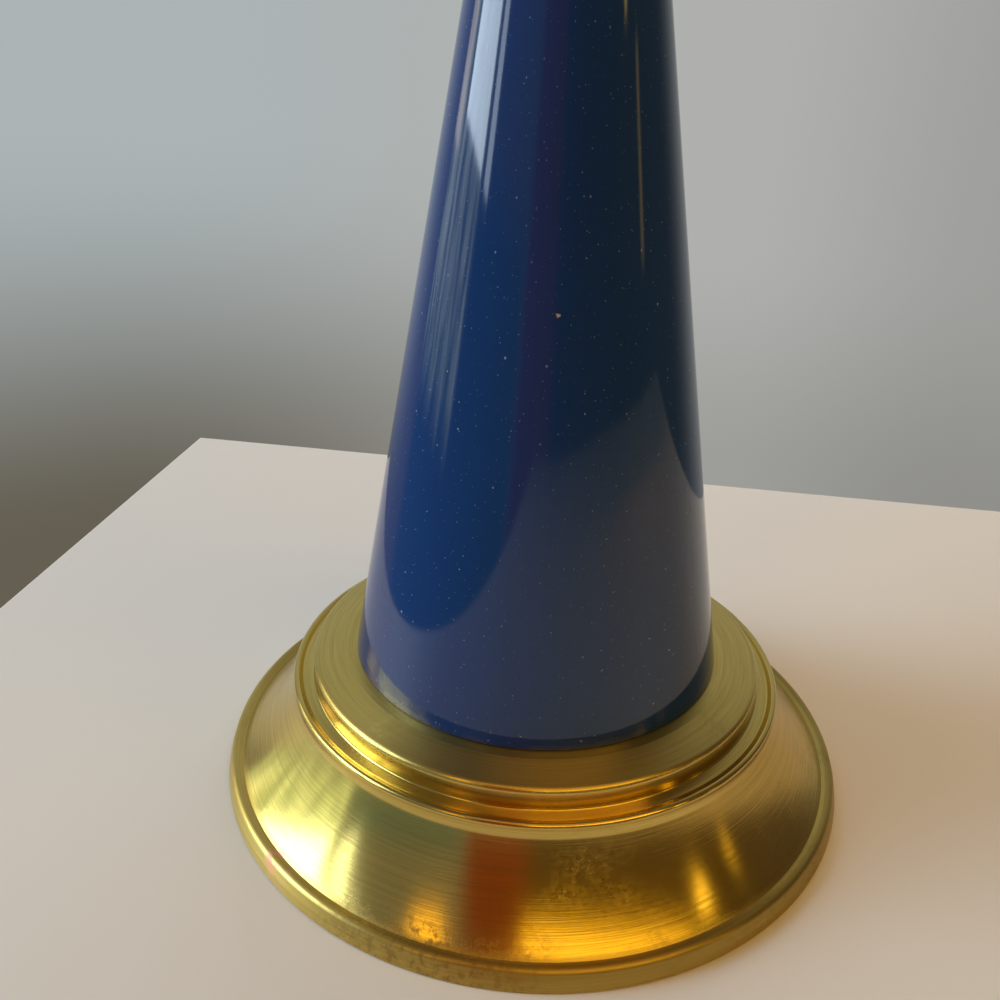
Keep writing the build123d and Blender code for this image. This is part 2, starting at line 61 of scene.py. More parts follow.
# ------------------------------------------------------------------ node helpers
class Tree:
    """Short names for building one node tree."""

    def __init__(self, tree):
        self.tree = tree

    def add(self, kind, **settings):
        """A node with some of its properties set."""
        node = self.tree.nodes.new(kind)
        for key, value in settings.items():
            setattr(node, key, value)
        return node

    def feed(self, socket, value):
        """Link a socket or set a number on an input."""
        if isinstance(value, bpy.types.NodeSocket):
            self.tree.links.new(value, socket)
        elif value is not None:
            socket.default_value = value

    def math(self, operation, a, b=None):
        node = self.add("ShaderNodeMath", operation=operation)
        for socket, value in zip(node.inputs, (a, b)):
            self.feed(socket, value)
        return node.outputs[0]

    def vector(self, operation, a, b=None, scale=None):
        node = self.add("ShaderNodeVectorMath", operation=operation)
        self.feed(node.inputs[0], a)
        self.feed(node.inputs[1], b)
        self.feed(node.inputs[3], scale)
        return node.outputs["Value" if operation == "DISTANCE" else "Vector"]

    def combine(self, x, y, z):
        node = self.add("ShaderNodeCombineXYZ")
        for socket, value in zip(node.inputs, (x, y, z)):
            self.feed(socket, value)
        return node.outputs[0]

    def split(self, vector):
        node = self.add("ShaderNodeSeparateXYZ")
        self.feed(node.inputs[0], vector)
        return node.outputs

    def here(self):
        """Object coordinates of the point being shaded."""
        return self.add("ShaderNodeTexCoord").outputs["Object"]

    def radius(self, x, y):
        """Distance from the lamp's axis."""
        return self.math("SQRT", self.math("ADD", self.math("MULTIPLY", x, x), self.math("MULTIPLY", y, y)))

    def noise(self, vector, scale, detail=2.0, roughness=0.5):
        node = self.add("ShaderNodeTexNoise")
        self.feed(node.inputs["Vector"], vector)
        self.feed(node.inputs["Scale"], scale)
        self.feed(node.inputs["Detail"], detail)
        self.feed(node.inputs["Roughness"], roughness)
        return node.outputs["Fac"]

    def band(self, value, low, high):
        """Smooth step: 0 where value is at low, 1 where it is at high. low may be the larger one."""
        node = self.add("ShaderNodeMapRange", interpolation_type="SMOOTHSTEP")
        self.feed(node.inputs["Value"], value)
        self.feed(node.inputs["From Min"], low)
        self.feed(node.inputs["From Max"], high)
        return node.outputs[0]

    def mix(self, factor, a, b):
        """Colour mix."""
        node = self.add("ShaderNodeMix", data_type="RGBA")
        self.feed(node.inputs["Factor"], factor)
        colours = [socket for socket in node.inputs if socket.type == "RGBA"]
        for socket, value in zip(colours, (a, b)):
            self.feed(socket, value)
        return next(socket for socket in node.outputs if socket.type == "RGBA")

    def bump(self, height, strength, distance, normal=None):
        node = self.add("ShaderNodeBump")
        self.feed(node.inputs["Height"], height)
        self.feed(node.inputs["Strength"], strength)
        self.feed(node.inputs["Distance"], distance)
        self.feed(node.inputs["Normal"], normal)
        return node.outputs[0]


def rgb(red, green, blue):
    return (red, green, blue, 1.0)


def new_material(name):
    """A material with an empty Principled shader: (material, tree, shader)."""
    material = bpy.data.materials.new(name)
    material.use_nodes = True
    material.node_tree.nodes.clear()
    tree = Tree(material.node_tree)
    shader = tree.add("ShaderNodeBsdfPrincipled")
    out = tree.add("ShaderNodeOutputMaterial")
    tree.tree.links.new(shader.outputs[0], out.inputs["Surface"])
    return material, tree, shader


# ------------------------------------------------------------------ materials
BRASS = rgb(0.74, 0.565, 0.165)
BRASS_DARK = rgb(0.40, 0.27, 0.06)
COPPER = rgb(0.78, 0.34, 0.24)
UMBER = rgb(0.20, 0.085, 0.03)
RING_PITCH = 0.50 * MM                              # spinning rings in the foot
STAIN_AT = (-22 * MM, -75 * MM, 4 * MM)             # middle of the brown stain on the rim
PINK_AT = (-54 * MM, -55 * MM, 5 * MM)              # middle of the copper-pink spots on the rim
CHIP_AT = (1.28 * MM, -30.17 * MM, 123.2 * MM)      # chip in the glaze, on the front of the body
SPECK_GRIDS = ((2.1 * MM, 0.030), (5.0 * MM, 0.022))    # pitch of the cells, least size of a speck in one
UNROLL_R = 38 * MM                                  # the radius at which the specks are laid out
LINE_PITCH = 0.35 * MM                              # drawn lines in plated brass


def spun_brass():
    """Unlacquered brass: fine rings from spinning, light tarnish, copper-pink spots, a stained rim, and
    painted shade on the rim away from the window.
    """
    material, t, shader = new_material("brass_spun")
    here = t.here()
    x, y, z = t.split(here)
    radius = t.radius(x, y)
    # Rings: noise that changes fast across the profile and slowly round it.
    profile_place = t.combine(radius, z, 0.0)
    ring_place = t.vector("SCALE", profile_place, scale=1 / RING_PITCH)
    round_place = t.vector("SCALE", here, scale=22.0)
    coarse_rings = t.noise(t.vector("ADD", ring_place, round_place), 1.0, detail=3.0, roughness=0.65)
    fine_place = t.vector("SCALE", ring_place, scale=2.6)
    fine_rings = t.noise(t.vector("ADD", fine_place, t.vector("SCALE", here, scale=90.0)), 1.0, detail=2.0)
    rings = t.math("ADD", t.math("MULTIPLY", coarse_rings, 0.6), t.math("MULTIPLY", fine_rings, 0.4))

    cloud = t.noise(here, 42.0, detail=5.0, roughness=0.62)
    grain = t.noise(here, 900.0, detail=3.0, roughness=0.7)
    low_edge = t.band(z, 11.0 * MM, 3.0 * MM)
    tarnish = t.band(t.math("ADD", cloud, t.math("MULTIPLY", low_edge, 0.06)), 0.54, 0.76)
    mottle = t.math("MULTIPLY", tarnish, t.band(grain, 0.35, 0.62))
    stain_near = t.band(t.vector("DISTANCE", here, STAIN_AT), 34 * MM, 8 * MM)
    stain_grain = t.noise(here, 480.0, detail=5.0, roughness=0.7)
    stain = t.math("MULTIPLY", stain_near, t.band(stain_grain, 0.46, 0.62))
    stain = t.math("MULTIPLY", stain, t.band(z, 8.5 * MM, 5.0 * MM))
    pink_near = t.band(t.vector("DISTANCE", here, PINK_AT), 8.0 * MM, 1.5 * MM)
    pink_grain = t.noise(here, 330.0, detail=3.0, roughness=0.6)
    pink = t.math("MULTIPLY", pink_near, t.band(pink_grain, 0.47, 0.56))

    colour = t.mix(t.math("MULTIPLY", mottle, 0.28), BRASS, BRASS_DARK)
    colour = t.mix(t.math("MULTIPLY", t.band(rings, 0.36, 0.66), 0.42), colour, BRASS_DARK)
    # Rim darkened by patina and by painted shade: the darkening fades out towards -X, the side the window
    # lights.
    rim_patina_and_shade = t.math("MULTIPLY", t.band(radius, 76.4 * MM, 77.6 * MM), t.band(x, -58 * MM, 5 * MM))
    colour = t.mix(t.math("MULTIPLY", rim_patina_and_shade, 0.62), colour, BRASS_DARK)
    colour = t.mix(t.math("MULTIPLY", stain, 0.38), colour, UMBER)
    colour = t.mix(t.math("MULTIPLY", pink, 0.85), colour, COPPER)
    t.feed(shader.inputs["Base Color"], colour)
    shader.inputs["Metallic"].default_value = 1.0
    flat_top = t.band(z, 29.0 * MM, 31.0 * MM)
    roughness = t.math("ADD", 0.11, t.math("MULTIPLY", rings, 0.14))
    roughness = t.math("ADD", roughness, t.math("MULTIPLY", flat_top, 0.12))
    roughness = t.math("ADD", roughness, t.math("MULTIPLY", mottle, 0.12))
    worn_rim = t.band(radius, 74.9 * MM, 76.5 * MM)
    roughness = t.math("ADD", roughness, t.math("MULTIPLY", worn_rim, 0.17))
    roughness = t.math("ADD", roughness, t.math("MULTIPLY", t.math("ADD", stain, pink), 0.15))
    t.feed(shader.inputs["Roughness"], roughness)
    shader.inputs["Anisotropic"].default_value = 0.75
    shader.inputs["Anisotropic Rotation"].default_value = 0.25
    tangent = t.add("ShaderNodeTangent", direction_type="RADIAL", axis="Z")
    t.feed(shader.inputs["Tangent"], tangent.outputs[0])
    normal = t.bump(rings, 0.70, 0.035 * MM)
    normal = t.bump(t.math("ADD", mottle, stain), 0.12, 0.02 * MM, normal)
    t.feed(shader.inputs["Normal"], normal)
    return material


def blue_glaze():
    """Deep cobalt gloss glaze: soft vertical ripple, pale dust-fine specks and one small chip."""
    material, t, shader = new_material("glaze_blue")
    here = t.here()
    x, y, z = t.split(here)
    along = t.combine(x, y, t.math("MULTIPLY", z, 0.10))
    depth = t.noise(t.combine(x, y, t.math("MULTIPLY", z, 0.35)), 26.0, detail=3.0)
    colour = t.mix(depth, rgb(0.003, 0.028, 0.135), rgb(0.005, 0.040, 0.185))

    # Specks: cells laid out on the unrolled surface, each with one dot of its own size.
    round_it = t.math("MULTIPLY", t.math("ARCTAN2", y, x), UNROLL_R)
    specks = None
    for pitch, least in SPECK_GRIDS:
        cells = t.add("ShaderNodeTexVoronoi", feature="F1", voronoi_dimensions="2D")
        t.feed(cells.inputs["Vector"], t.combine(round_it, z, 0.0))
        cells.inputs["Scale"].default_value = 1 / pitch
        draw = t.split(cells.outputs["Color"])
        size = t.math("ADD", least, t.math("MULTIPLY", t.math("POWER", draw[0], 5.0), 0.035))
        found = t.math("LESS_THAN", cells.outputs["Distance"], size)
        found = t.math("MULTIPLY", found, t.band(draw[1], 0.30, 1.0))
        specks = found if specks is None else t.math("MAXIMUM", specks, found)
    colour = t.mix(specks, colour, rgb(0.20, 0.27, 0.36))

    ragged = t.math("MULTIPLY", t.noise(here, 1600.0, detail=3.0), 0.9 * MM)
    chip_near = t.vector("DISTANCE", here, CHIP_AT)
    chip = t.band(t.math("ADD", chip_near, ragged), 0.92 * MM, 0.74 * MM)
    colour = t.mix(chip, colour, rgb(0.38, 0.36, 0.31))
    t.feed(shader.inputs["Base Color"], colour)

    smudge = t.noise(here, 38.0, detail=4.0)
    t.feed(shader.inputs["Roughness"], t.math("ADD", 0.045, t.math("MULTIPLY", smudge, 0.05)))
    shader.inputs["IOR"].default_value = 1.56
    ripple = t.noise(along, 420.0, detail=2.0)
    swell = t.noise(along, 60.0, detail=1.0)
    normal = t.bump(swell, 0.25, 0.10 * MM)
    normal = t.bump(ripple, 0.20, 0.012 * MM, normal)
    normal = t.bump(specks, 0.35, 0.05 * MM, normal)
    t.feed(shader.inputs["Normal"], normal)
    return material


def plated_brass(name, colour, shade, roughness):
    """Brass-plated sheet or wire: faint drawn lines and fingerprints."""
    material, t, shader = new_material(name)
    here = t.here()
    x, y, z = t.split(here)
    lines = t.noise(t.combine(t.radius(x, y), z, 0.0), 1 / LINE_PITCH)
    marks = t.noise(here, 75.0, detail=5.0, roughness=0.6)
    wear = t.band(marks, 0.50, 0.72)
    t.feed(shader.inputs["Base Color"], t.mix(t.math("MULTIPLY", wear, 0.5), colour, shade))
    shader.inputs["Metallic"].default_value = 1.0
    rough = t.math("ADD", roughness, t.math("MULTIPLY", lines, 0.10))
    t.feed(shader.inputs["Roughness"], t.math("ADD", rough, t.math("MULTIPLY", wear, 0.14)))
    t.feed(shader.inputs["Normal"], t.bump(lines, 0.20, 0.015 * MM))
    return material


def zinc_steel():
    """Zinc-plated steel with its faint spangle."""
    material, t, shader = new_material("steel_zinc")
    here = t.here()
    patches = t.noise(here, 260.0, detail=4.0, roughness=0.7)
    t.feed(shader.inputs["Base Color"], t.mix(patches, rgb(0.42, 0.42, 0.40), rgb(0.66, 0.65, 0.60)))
    shader.inputs["Metallic"].default_value = 1.0
    t.feed(shader.inputs["Roughness"], t.math("ADD", 0.28, t.math("MULTIPLY", patches, 0.22)))
    t.feed(shader.inputs["Normal"], t.bump(t.noise(here, 1800.0, detail=2.0), 0.2, 0.03 * MM))
    return material


def cast_iron():
    """Raw sand-cast iron."""
    material, t, shader = new_material("iron_cast")
    here = t.here()
    sand = t.noise(here, 700.0, detail=6.0, roughness=0.75)
    rust = t.band(t.noise(here, 60.0, detail=4.0), 0.55, 0.75)
    colour = t.mix(sand, rgb(0.045, 0.043, 0.042), rgb(0.12, 0.115, 0.11))
    t.feed(shader.inputs["Base Color"], t.mix(t.math("MULTIPLY", rust, 0.5), colour, rgb(0.16, 0.07, 0.03)))
    shader.inputs["Metallic"].default_value = 0.7
    t.feed(shader.inputs["Roughness"], t.math("ADD", 0.62, t.math("MULTIPLY", sand, 0.25)))
    t.feed(shader.inputs["Normal"], t.bump(sand, 0.7, 0.25 * MM))
    return material


def moulded(name, dark, pale, roughness):
    """Moulded plastic or phenolic: fine mould texture and slight handling polish."""
    material, t, shader = new_material(name)
    here = t.here()
    texture = t.noise(here, 1500.0, detail=3.0, roughness=0.6)
    polish = t.noise(here, 90.0, detail=3.0)
    t.feed(shader.inputs["Base Color"], t.mix(texture, dark, pale))
    t.feed(shader.inputs["Roughness"], t.math("ADD", roughness, t.math("MULTIPLY", polish, 0.18)))
    t.feed(shader.inputs["Normal"], t.bump(texture, 0.25, 0.04 * MM))
    return material


def fibre_board():
    """Tan vulcanised fibre board."""
    material, t, shader = new_material("board_fibre")
    x, y, z = t.split(t.here())
    fibres = t.noise(t.combine(x, y, t.math("MULTIPLY", z, 0.3)), 1100.0, detail=5.0, roughness=0.75)
    t.feed(shader.inputs["Base Color"], t.mix(fibres, rgb(0.23, 0.16, 0.09), rgb(0.50, 0.39, 0.25)))
    t.feed(shader.inputs["Roughness"], t.math("ADD", 0.72, t.math("MULTIPLY", fibres, 0.2)))
    t.feed(shader.inputs["Normal"], t.bump(fibres, 0.5, 0.08 * MM))
    return material


def felt():
    """Dark green pressed felt: matted fibres with a soft sheen."""
    material, t, shader = new_material("felt_green")
    here = t.here()
    fluff = t.noise(here, 1400.0, detail=6.0, roughness=0.8)
    mats = t.noise(here, 160.0, detail=4.0, roughness=0.6)
    tone = t.math("ADD", t.math("MULTIPLY", fluff, 0.6), t.math("MULTIPLY", mats, 0.4))
    t.feed(shader.inputs["Base Color"], t.mix(tone, rgb(0.010, 0.030, 0.018), rgb(0.050, 0.110, 0.066)))
    t.feed(shader.inputs["Roughness"], t.math("ADD", 0.88, t.math("MULTIPLY", fluff, 0.1)))
    shader.inputs["Sheen Weight"].default_value = 0.4
    shader.inputs["Sheen Roughness"].default_value = 0.5
    t.feed(shader.inputs["Normal"], t.bump(tone, 0.8, 0.3 * MM))
    return material


materials = {
    "spun_brass": spun_brass(),
    "blue_glaze": blue_glaze(),
    "harp_brass": plated_brass("brass_harp", rgb(0.74, 0.55, 0.24), rgb(0.46, 0.31, 0.11), 0.26),
    "socket_brass": plated_brass("brass_socket", rgb(0.80, 0.60, 0.27), rgb(0.58, 0.40, 0.14), 0.14),
    "contact_brass": plated_brass("brass_contact", rgb(0.76, 0.55, 0.24), rgb(0.48, 0.31, 0.10), 0.24),
    "finial_brass": plated_brass("brass_finial", rgb(0.81, 0.60, 0.23), rgb(0.56, 0.38, 0.12), 0.15),
    "zinc_steel": zinc_steel(),
    "cast_iron": cast_iron(),
    "black_plastic": moulded("plastic_black", rgb(0.010, 0.010, 0.010), rgb(0.026, 0.026, 0.025), 0.42),
    "phenolic": moulded("phenolic_black", rgb(0.010, 0.008, 0.007), rgb(0.030, 0.024, 0.020), 0.26),
    "fibre_board": fibre_board(),
    "felt": felt(),
}
slot_of = {part["node"]: part["material_slot"] for part in frame["record"]["subparts"]}
for node_name, node_object in nodes.items():
    node_object.data.materials.clear()
    node_object.data.materials.append(materials[slot_of[node_name]])


# ------------------------------------------------------------------ turned pieces
def lathe(name, outline, sides):
    """A closed surface of revolution about Z from a closed outline of (radius, height) points, in metres."""
    points = []
    for step in range(sides):
        angle = 2 * math.pi * step / sides
        points += [(r * math.cos(angle), r * math.sin(angle), h) for r, h in outline]
    count = len(outline)
    faces = []
    for step in range(sides):
        here = step * count
        there = ((step + 1) % sides) * count
        for k in range(count):
            following = (k + 1) % count
            faces.append((here + k, there + k, there + following, here + following))
    mesh = bpy.data.meshes.new(name)
    mesh.from_pydata(points, [], faces)
    mesh.validate()
    mesh.update()
    mesh.polygons.foreach_set("use_smooth", [True] * len(mesh.polygons))
    mesh.set_sharp_from_angle(angle=math.radians(35))
    piece = bpy.data.objects.new(name, mesh)
    bpy.context.scene.collection.objects.link(piece)
    return piece


def weld(piece):
    """Join the points that share a place, so that a turned piece closes on its axis."""
    shape = bmesh.new()
    shape.from_mesh(piece.data)
    bmesh.ops.remove_doubles(shape, verts=shape.verts, dist=1e-7)
    bmesh.ops.recalc_face_normals(shape, faces=shape.faces)
    shape.to_mesh(piece.data)
    shape.free()


# Glazed body: the CAD outline drawn finely, so that long reflections run clean down the gloss.
BODY_TAPER = 0.174            # radius lost per unit of height
BODY_FOOT_R = 46.1 * MM
BODY_WALL = 4.0 * MM
TOP_HOLE_R = 9.0 * MM
BODY_RINGS = 64               # steps along the taper
BODY_SIDES = 320
FOOT_SIDES = 360
CORNER_STEPS = 8
FLARE_STEPS = 40


def tangent_arc(start, direction, end, steps):
    """Points along the arc that leaves start in a direction and reaches end, without its start."""
    chord = Vector(end) - Vector(start)
    along = Vector(direction).normalized()
    across = Vector((-along.y, along.x))
    radius = chord.length_squared / (2 * chord.dot(across))
    centre = Vector(start) + across * radius
    spoke = Vector(start) - centre
    sweep = 2 * math.atan2(chord.dot(across), chord.dot(along))
    points = []
    for step in range(1, steps + 1):
        turn = sweep * step / steps
        points.append((
            centre.x + spoke.x * math.cos(turn) - spoke.y * math.sin(turn),
            centre.y + spoke.x * math.sin(turn) + spoke.y * math.cos(turn),
        ))
    return points


def rounded(points, radii):
    """A line through points with its inner corners rounded."""
    result = [tuple(points[0])]
    for before, corner, after, radius in zip(points, points[1:], points[2:], radii):
        corner = Vector(corner)
        back = (Vector(before) - corner).normalized()
        ahead = (Vector(after) - corner).normalized()
        half = back.angle(ahead) / 2
        reach = radius / math.tan(half)
        start = corner + back * reach
        result.append(tuple(start))
        result += tangent_arc(start, -back, corner + ahead * reach, CORNER_STEPS)
    result.append(tuple(points[-1]))
    return result


def body_outline():
    """Closed outline of the hollow glazed cone."""
    base = body_low.z
    top = body_high.z
    top_r = BODY_FOOT_R - BODY_TAPER * (top - base)
    line = rounded(
        [(TOP_HOLE_R, top), (top_r, top), (BODY_FOOT_R, base), (BODY_FOOT_R - BODY_WALL, base)],
        [1.2 * MM, 0.4 * MM],
    )
    inner = [(TOP_HOLE_R + 0.6 * MM, top - BODY_WALL), (TOP_HOLE_R, top - BODY_WALL)]
    outline = []
    for start, end in zip(line, line[1:]):
        is_taper = (Vector(end) - Vector(start)).length > (top - base) / 2
        count = BODY_RINGS if is_taper else 1
        outline += [tuple(Vector(start).lerp(Vector(end), k / count)) for k in range(count)]
    return outline + [line[-1]] + inner


glazed_body = lathe("glazed_body", body_outline(), BODY_SIDES)
glazed_body.data.materials.append(materials["blue_glaze"])
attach(glazed_body, "lamp_base")
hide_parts("body_shell")

# Spun brass foot: the CAD line drawn finely, so that the crests catch clean lines of light.
SHEET = 0.8 * MM
RIM_Z = 0.4 * MM              # the rim stops just above the table
LEDGE_R = 57.0 * MM           # foot of the short wall under the plate
PIPE_HOLE_R = 5.45 * MM
FLARE_LOW = (76.2 * MM, 4.3 * MM)
FLARE_MID = (68.0 * MM, 12.8 * MM)
FLARE_HIGH = (62.0 * MM, 23.0 * MM)


def arc_through(start, middle, end, steps):
    """Points along the arc through three points, both ends included."""
    a, b, c = Vector(start), Vector(middle), Vector(end)
    ab, ac = b - a, c - a
    cross = 2 * (ab.x * ac.y - ab.y * ac.x)
    centre = a + Vector((
        (ac.y * ab.length_squared - ab.y * ac.length_squared) / cross,
        (ab.x * ac.length_squared - ac.x * ab.length_squared) / cross,
    ))
    first = math.atan2(a.y - centre.y, a.x - centre.x)
    last = math.atan2(c.y - centre.y, c.x - centre.x)
    sweep = (last - first + math.pi) % (2 * math.pi) - math.pi
    size = (a - centre).length
    angles = [first + sweep * k / steps for k in range(steps + 1)]
    return [(centre.x + size * math.cos(angle), centre.y + size * math.sin(angle)) for angle in angles]


def thickened(line, amount):
    """Closed outline of an open line thickened to its left."""
    inner = []
    for k, point in enumerate(line):
        before = Vector(line[max(k - 1, 0)])
        after = Vector(line[min(k + 1, len(line) - 1)])
        along = (after - before).normalized()
        inner.append((point[0] - along.y * amount, point[1] + along.x * amount))
    return line + inner[::-1]


def foot_line():
    """Outer line of the spun foot, from the rim up to the pipe hole."""
    rim = rounded(
        [(FOOT_R, RIM_Z), (FOOT_R - 0.3 * MM, 2.2 * MM), (FOOT_R - 1.3 * MM, 5.2 * MM), FLARE_LOW],
        [2.0 * MM, 1.2 * MM],
    )
    steps = rounded(
        [
            FLARE_HIGH,
            (62.3 * MM, 26.15 * MM),
            (60.9 * MM, 26.15 * MM),
            (59.9 * MM, 25.2 * MM),
            (LEDGE_R, 25.6 * MM),
            (LEDGE_R, 30.6 * MM),
            (55.2 * MM, 30.8 * MM),
            (48.6 * MM, PLATE_Z),
            (PIPE_HOLE_R, PLATE_Z),
        ],
        [0.9 * MM, 0.9 * MM, 1.0 * MM, 0.6 * MM, 1.2 * MM, 0.6 * MM, 1.5 * MM],
    )
    line = rim[:-1] + arc_through(FLARE_LOW, FLARE_MID, FLARE_HIGH, FLARE_STEPS) + steps[1:]
    steps_apart = [(Vector(there) - Vector(here)).length for here, there in zip(line, line[1:])]
    return [point for point, step in zip(line, steps_apart) if step > 0.001 * MM] + line[-1:]


spun_foot = lathe("spun_foot", thickened(foot_line(), SHEET), FOOT_SIDES)


def cut(piece, cutter):
    """Cut one mesh out of another for good and drop the cutter."""
    boolean = piece.modifiers.new("cut", "BOOLEAN")
    boolean.object = cutter
    boolean.operation = "DIFFERENCE"
    boolean.solver = "EXACT"
    bpy.context.view_layer.update()
    evaluated = piece.evaluated_get(bpy.context.evaluated_depsgraph_get())
    mesh = bpy.data.meshes.new_from_object(evaluated)
    piece.modifiers.clear()
    piece.data = mesh
    bpy.data.objects.remove(cutter)


# Hole and seat for the cord bushing, square to the middle of the flare at the back.
HOLE_R = 4.9 * MM
HOLE_DEPTH = 6.0 * MM
SEAT_R = 6.4 * MM
SEAT_DEPTH = 0.15 * MM
CLEAR = 3.0 * MM              # how far the cutter stands out of the flare
rise = (Vector(FLARE_HIGH) - Vector(FLARE_LOW)).normalized()
bushing_axis = Vector((0, rise.y, -rise.x))
bushing_cutter = lathe(
    "bushing_cutter",
    [
        (0, CLEAR),
        (0, -HOLE_DEPTH),
        (HOLE_R, -HOLE_DEPTH),
        (HOLE_R, -SEAT_DEPTH),
        (SEAT_R, -SEAT_DEPTH),
        (SEAT_R, CLEAR),
    ],
    96,
)
weld(bushing_cutter)
tilt = Vector((0, 0, 1)).rotation_difference(bushing_axis).to_matrix().to_4x4()
bushing_cutter.matrix_world = Matrix.Translation((0, *FLARE_MID)) @ tilt
cut(spun_foot, bushing_cutter)
spun_foot.data.materials.clear()
spun_foot.data.materials.append(materials["spun_brass"])
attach(spun_foot, "lamp_base")
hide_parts("base_shell")


# ------------------------------------------------------------------ camera
CAMERA_BACK = 2.5637          # distances in foot radii
CAMERA_UP = 2.056
PITCH = math.radians(24.18)
PAN = math.radians(-2.887)
ROLL = math.radians(1.727)
FOCAL = 0.9201                # focal length over image width
SHIFT_Y = -0.0088

forward = Vector((math.sin(PAN) * math.cos(PITCH), math.cos(PAN) * math.cos(PITCH), -math.sin(PITCH)))
level = Vector((math.cos(PAN), -math.sin(PAN), 0.0))
upward = level.cross(forward)
right = level * math.cos(ROLL) + upward * math.sin(ROLL)
above = upward * math.cos(ROLL) - level * math.sin(ROLL)
camera_data = bpy.data.cameras.new("camera")
camera_data.sensor_width = 36.0
camera_data.lens = 36.0 * FOCAL
camera_data.shift_y = SHIFT_Y
camera_data.clip_start = 0.01
camera = bpy.data.objects.new("camera", camera_data)
turn = Matrix((right, above, -forward)).transposed().to_4x4()
camera.matrix_world = Matrix.Translation((0, -CAMERA_BACK * FOOT_R, CAMERA_UP * FOOT_R)) @ turn
bpy.context.scene.collection.objects.link(camera)
bpy.context.scene.camera = camera


# ------------------------------------------------------------------ floor
def floor_material():
    """Plain pale matt floor."""
    material, t, shader = new_material("floor_pale")
    soft = t.noise(t.here(), 9.0, detail=3.0)
    t.feed(shader.inputs["Base Color"], t.mix(soft, rgb(0.695, 0.712, 0.726), rgb(0.725, 0.742, 0.755)))
    shader.inputs["Roughness"].default_value = 0.42
    shader.inputs["Specular IOR Level"].default_value = 0.35
    return material


FLOOR_CORNER = Vector((-2.109, 2.591)) * FOOT_R          # far left corner
FLOOR_SIDE = Vector((-0.109, -2.006)).normalized()       # along the left edge, towards the camera
FLOOR_BACK = Vector((4.577, -0.507)).normalized()        # along the far edge, to the right
FLOOR_REACH = 2.4
FLOOR_T = 0.03
far_corner = FLOOR_CORNER + FLOOR_BACK * FLOOR_REACH
near_corner = FLOOR_CORNER + FLOOR_SIDE * FLOOR_REACH
corners = [FLOOR_CORNER, near_corner, near_corner + FLOOR_BACK * FLOOR_REACH, far_corner]
floor_mesh = bpy.data.meshes.new("floor")
floor_mesh.from_pydata(
    [(c.x, c.y, 0.0) for c in corners] + [(c.x, c.y, -FLOOR_T) for c in corners],
    [],
    [(0, 1, 2, 3), (7, 6, 5, 4), (0, 4, 5, 1), (1, 5, 6, 2), (2, 6, 7, 3), (3, 7, 4, 0)],
)
floor = bpy.data.objects.new("floor", floor_mesh)
bpy.context.scene.collection.objects.link(floor)
floor_edge = floor.modifiers.new("edge", "BEVEL")
floor_edge.width = 1.0 * MM
floor_edge.segments = 3
floor.data.materials.append(floor_material())


# ------------------------------------------------------------------ lights
def soft_box(name, centre, aim, width, height, colour, radiance):
    """A rectangular light of a given radiance that faces a point. The camera doesn't see it."""
    data = bpy.data.lights.new(name, "AREA")
    data.shape = "RECTANGLE"
    data.size = width
    data.size_y = height
    data.color = colour
    data.energy = radiance * width * height * math.pi
    light = bpy.data.objects.new(name, data)
    light.location = centre
    light.rotation_euler = (Vector(aim) - Vector(centre)).to_track_quat("-Z", "Y").to_euler()
    light.visible_camera = False
    bpy.context.scene.collection.objects.link(light)
    return light


WINDOW_X = -1.2
COOL = (0.72, 0.87, 1.0)
PEACH = (1.0, 0.80, 0.62)
CREAM = (1.0, 0.95, 0.88)
AMBER = (1.0, 0.54, 0.12)
ORANGE = (1.0, 0.42, 0.06)

# Each pane: name, y, height of its middle, width, height, colour, radiance. The panes face along +X.
for pane, y, z, width, height, colour, radiance in (
    ("window_main", -0.05, 0.87, 0.62, 1.01, COOL, 7.3),
    ("window_slit", -0.53, 0.87, 0.14, 1.01, COOL, 4.0),
    ("window_warm", 0.50, 0.80, 0.27, 1.0, PEACH, 1.4),
):
    soft_box(pane, (WINDOW_X, y, z), (0, y, z), width, height, colour, radiance)
soft_box("warm_fill", (0.35, -0.55, 1.5), (0, 0, 0), 1.4, 1.4, AMBER, 0.55)
back_fill = soft_box("back_fill", (0.15, 0.55, 0.30), (0.08, 0.10, 0), 0.6, 0.3, CREAM, 2.0)
side_fill = soft_box("side_fill", (0.55, -0.20, 0.30), (0.10, -0.03, 0), 0.3, 0.3, ORANGE, 2.4)
back_fill.visible_glossy = False
side_fill.visible_glossy = False


# ------------------------------------------------------------------ surroundings
WALL_PALE = rgb(0.41, 0.455, 0.465)
WALL_LEFT_LOW = rgb(0.13, 0.115, 0.085)
WALL_PLAIN = rgb(0.43, 0.435, 0.42)
WALL_PLAIN_LOW = rgb(0.34, 0.34, 0.32)
WALL_DARK = rgb(0.12, 0.11, 0.10)
CEILING_BACK = rgb(0.13, 0.10, 0.075)
CEILING_FRONT = rgb(0.15, 0.11, 0.075)
ROOM_GREY = rgb(0.21, 0.20, 0.20)
ROOM_RED = rgb(0.20, 0.045, 0.010)
ROOM_BROWN = rgb(0.085, 0.048, 0.014)
ROOM_SIDE = rgb(0.085, 0.062, 0.045)
SKYLIT = rgb(0.10, 0.165, 0.195)
GARDEN_DARK = rgb(0.18, 0.32, 0.18)
GARDEN_BRIGHT = rgb(1.45, 1.70, 1.50)
BELOW = rgb(0.05, 0.042, 0.035)

# Lamps of the room: bearing from and to, rise from and to, softness of the edges, colour.
ROOM_LAMPS = (
    (1.0, 66.0, 37.5, 52.0, 1.5, rgb(2.1, 1.25, 0.10)),
    (-41.5, -29.5, 36.5, 54.0, 1.5, rgb(2.3, 1.30, 0.12)),
    (64.5, 68.0, 20.0, 33.0, 1.0, rgb(3.6, 2.3, 0.32)),
    (77.5, 80.5, 5.0, 17.0, 1.0, rgb(1.0, 0.64, 0.09)),
)


